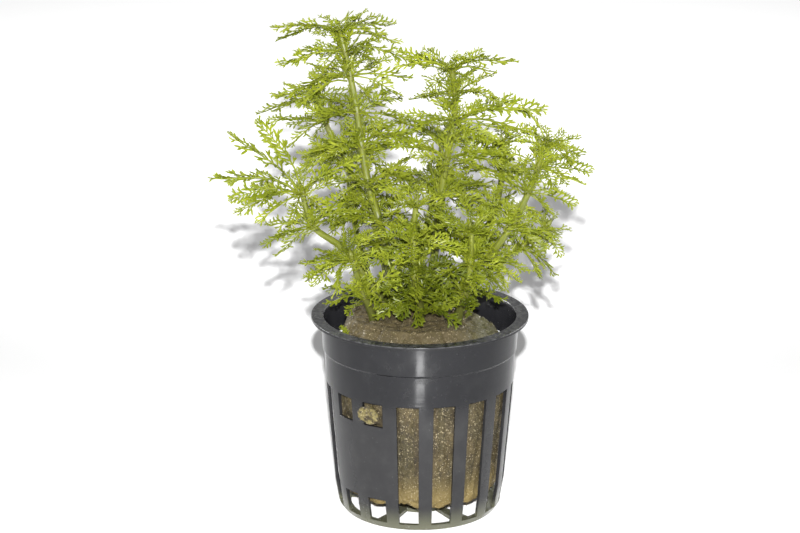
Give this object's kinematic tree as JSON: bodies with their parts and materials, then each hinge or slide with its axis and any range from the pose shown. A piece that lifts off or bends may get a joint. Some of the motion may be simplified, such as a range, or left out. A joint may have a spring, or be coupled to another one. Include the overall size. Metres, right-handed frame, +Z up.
{
  "type": "potted giant ambulia",
  "caption": "Bunch of finely leaved giant ambulia shoots in a rockwool plug, held in a slotted black net pot for planting in an aquarium or pond.",
  "frame": {"origin": "middle of the underside of the pot's base, on the surface that the pot stands on", "axes": "+Z up along the pot's axis, -Y towards the viewer of the picture, +X to the right"},
  "size_m": [0.0943, 0.0682, 0.126],
  "materials": {
    "pot_plastic": "gloss",
    "rockwool": "matte",
    "stem": "satin",
    "leaf": "satin"
  },
  "bodies": {
    "root": {"net_pot": "pot_plastic", "rockwool_plug": "rockwool", "back_left_stem": "stem", "back_stem": "stem", "front_left_stem": "stem", "front_right_stem": "stem", "front_stem": "stem", "left_back_stem": "stem", "left_stem": "stem", "low_right_stem": "stem", "mid_right_stem": "stem", "right_stem": "stem", "second_stem": "stem", "tall_stem": "stem", "back_leaves_1": "leaf", "back_leaves_2": "leaf", "back_leaves_3": "leaf", "back_left_leaves_1": "leaf", "back_left_leaves_2": "leaf", "front_leaves_1": "leaf", "front_leaves_2": "leaf", "front_leaves_3": "leaf", "front_leaves_4": "leaf", "front_left_leaves_1": "leaf", "front_left_leaves_2": "leaf", "front_right_leaves_1": "leaf", "front_right_leaves_2": "leaf", "front_right_leaves_3": "leaf", "left_back_leaves_1": "leaf", "left_back_leaves_2": "leaf", "left_back_leaves_3": "leaf", "left_back_leaves_4": "leaf", "left_leaves_1": "leaf", "left_leaves_2": "leaf", "left_leaves_3": "leaf", "low_right_leaves_1": "leaf", "low_right_leaves_2": "leaf", "mid_right_leaves_1": "leaf", "mid_right_leaves_2": "leaf", "mid_right_leaves_3": "leaf", "mid_right_leaves_4": "leaf", "right_leaves_1": "leaf", "right_leaves_2": "leaf", "right_leaves_3": "leaf", "right_leaves_4": "leaf", "right_leaves_5": "leaf", "second_leaves_1": "leaf", "second_leaves_2": "leaf", "second_leaves_3": "leaf", "second_leaves_4": "leaf", "second_leaves_5": "leaf", "second_leaves_6": "leaf", "tall_leaves_1": "leaf", "tall_leaves_2": "leaf", "tall_leaves_3": "leaf", "tall_leaves_4": "leaf", "tall_leaves_5": "leaf", "tall_leaves_6": "leaf", "tall_leaves_7": "leaf", "tall_leaves_8": "leaf"}
  },
  "joints": []
}
